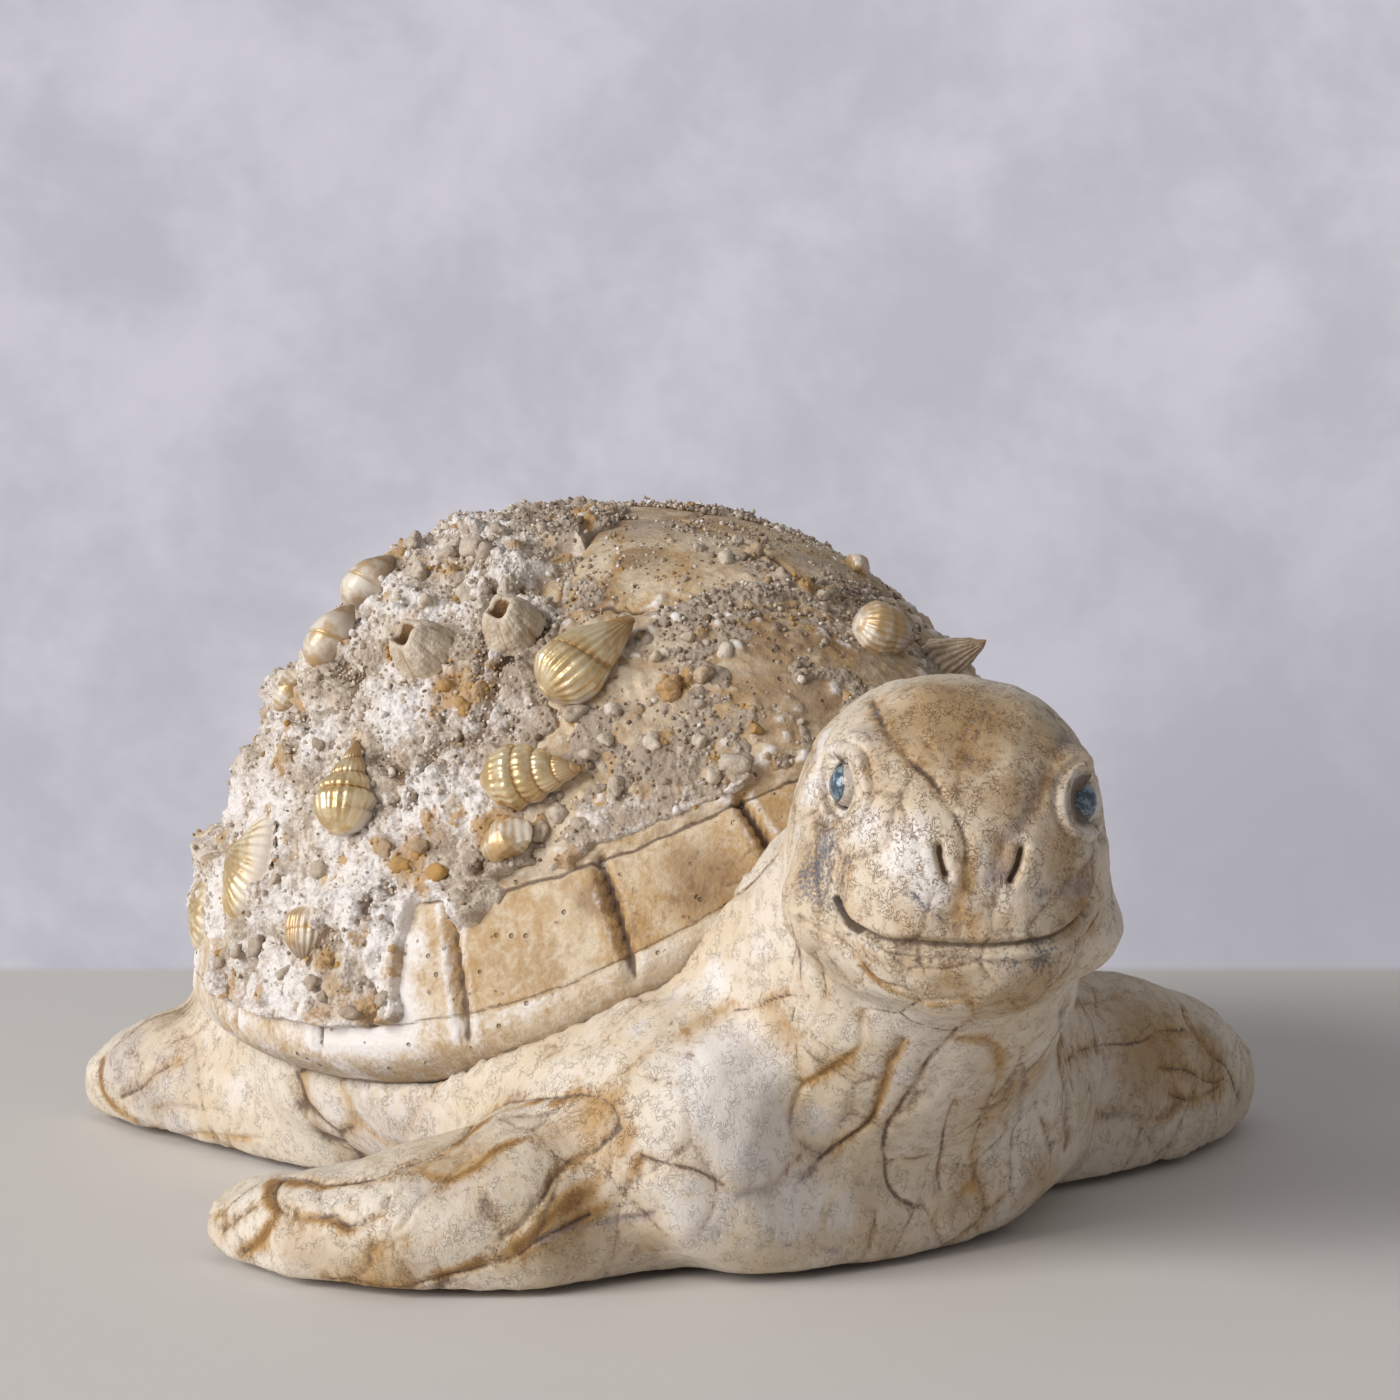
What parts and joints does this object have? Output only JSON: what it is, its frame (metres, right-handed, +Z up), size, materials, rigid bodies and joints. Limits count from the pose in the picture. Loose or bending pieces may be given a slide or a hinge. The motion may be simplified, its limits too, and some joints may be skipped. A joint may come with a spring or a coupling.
{
  "type": "turtle figurine",
  "caption": "Crawling sea turtle figurine in carved-look resin, with a domed shell crusted with grit and gold-painted sea shells, on felt pads.",
  "frame": {"origin": "on the table, under the middle of the figurine's bounding box", "axes": "+Z up, -Y the way the turtle crawls, +X its left side"},
  "size_m": [0.2202, 0.2604, 0.1238],
  "materials": {
    "carved_resin": "cream wash with ochre stains over carved facets, matt",
    "shell_resin": "chalky cream crust of sand and grit with ochre spots",
    "gold_paint": "worn gold paint, satin",
    "ivory_gold": "pearly ivory and gold paint, satin",
    "lime_crust": "chalky, matt",
    "blue_glass": "dark blue-grey, glossy",
    "felt": "felt"
  },
  "bodies": {
    "root": {"body_casting": "carved_resin", "carapace": "shell_resin", "eye_left": "blue_glass", "eye_right": "blue_glass", "felt_pad_front_left": "felt", "felt_pad_front_right": "felt", "felt_pad_rear_left": "felt", "felt_pad_rear_right": "felt", "spire_shell_1": "gold_paint", "spire_shell_2": "gold_paint", "spire_shell_3": "gold_paint", "spire_shell_4": "gold_paint", "spire_shell_5": "gold_paint", "limpet_shell_1": "lime_crust", "olive_shell_1": "ivory_gold", "olive_shell_2": "ivory_gold", "olive_shell_3": "ivory_gold", "scallop_shell_1": "gold_paint", "moon_shell_1": "gold_paint", "barnacle_1": "lime_crust", "shell_chip_1": "ivory_gold", "scallop_shell_2": "gold_paint", "moon_shell_2": "gold_paint", "barnacle_2": "lime_crust", "shell_chip_2": "ivory_gold", "scallop_shell_3": "gold_paint", "moon_shell_3": "gold_paint", "barnacle_3": "lime_crust", "shell_chip_3": "ivory_gold"}
  },
  "joints": []
}
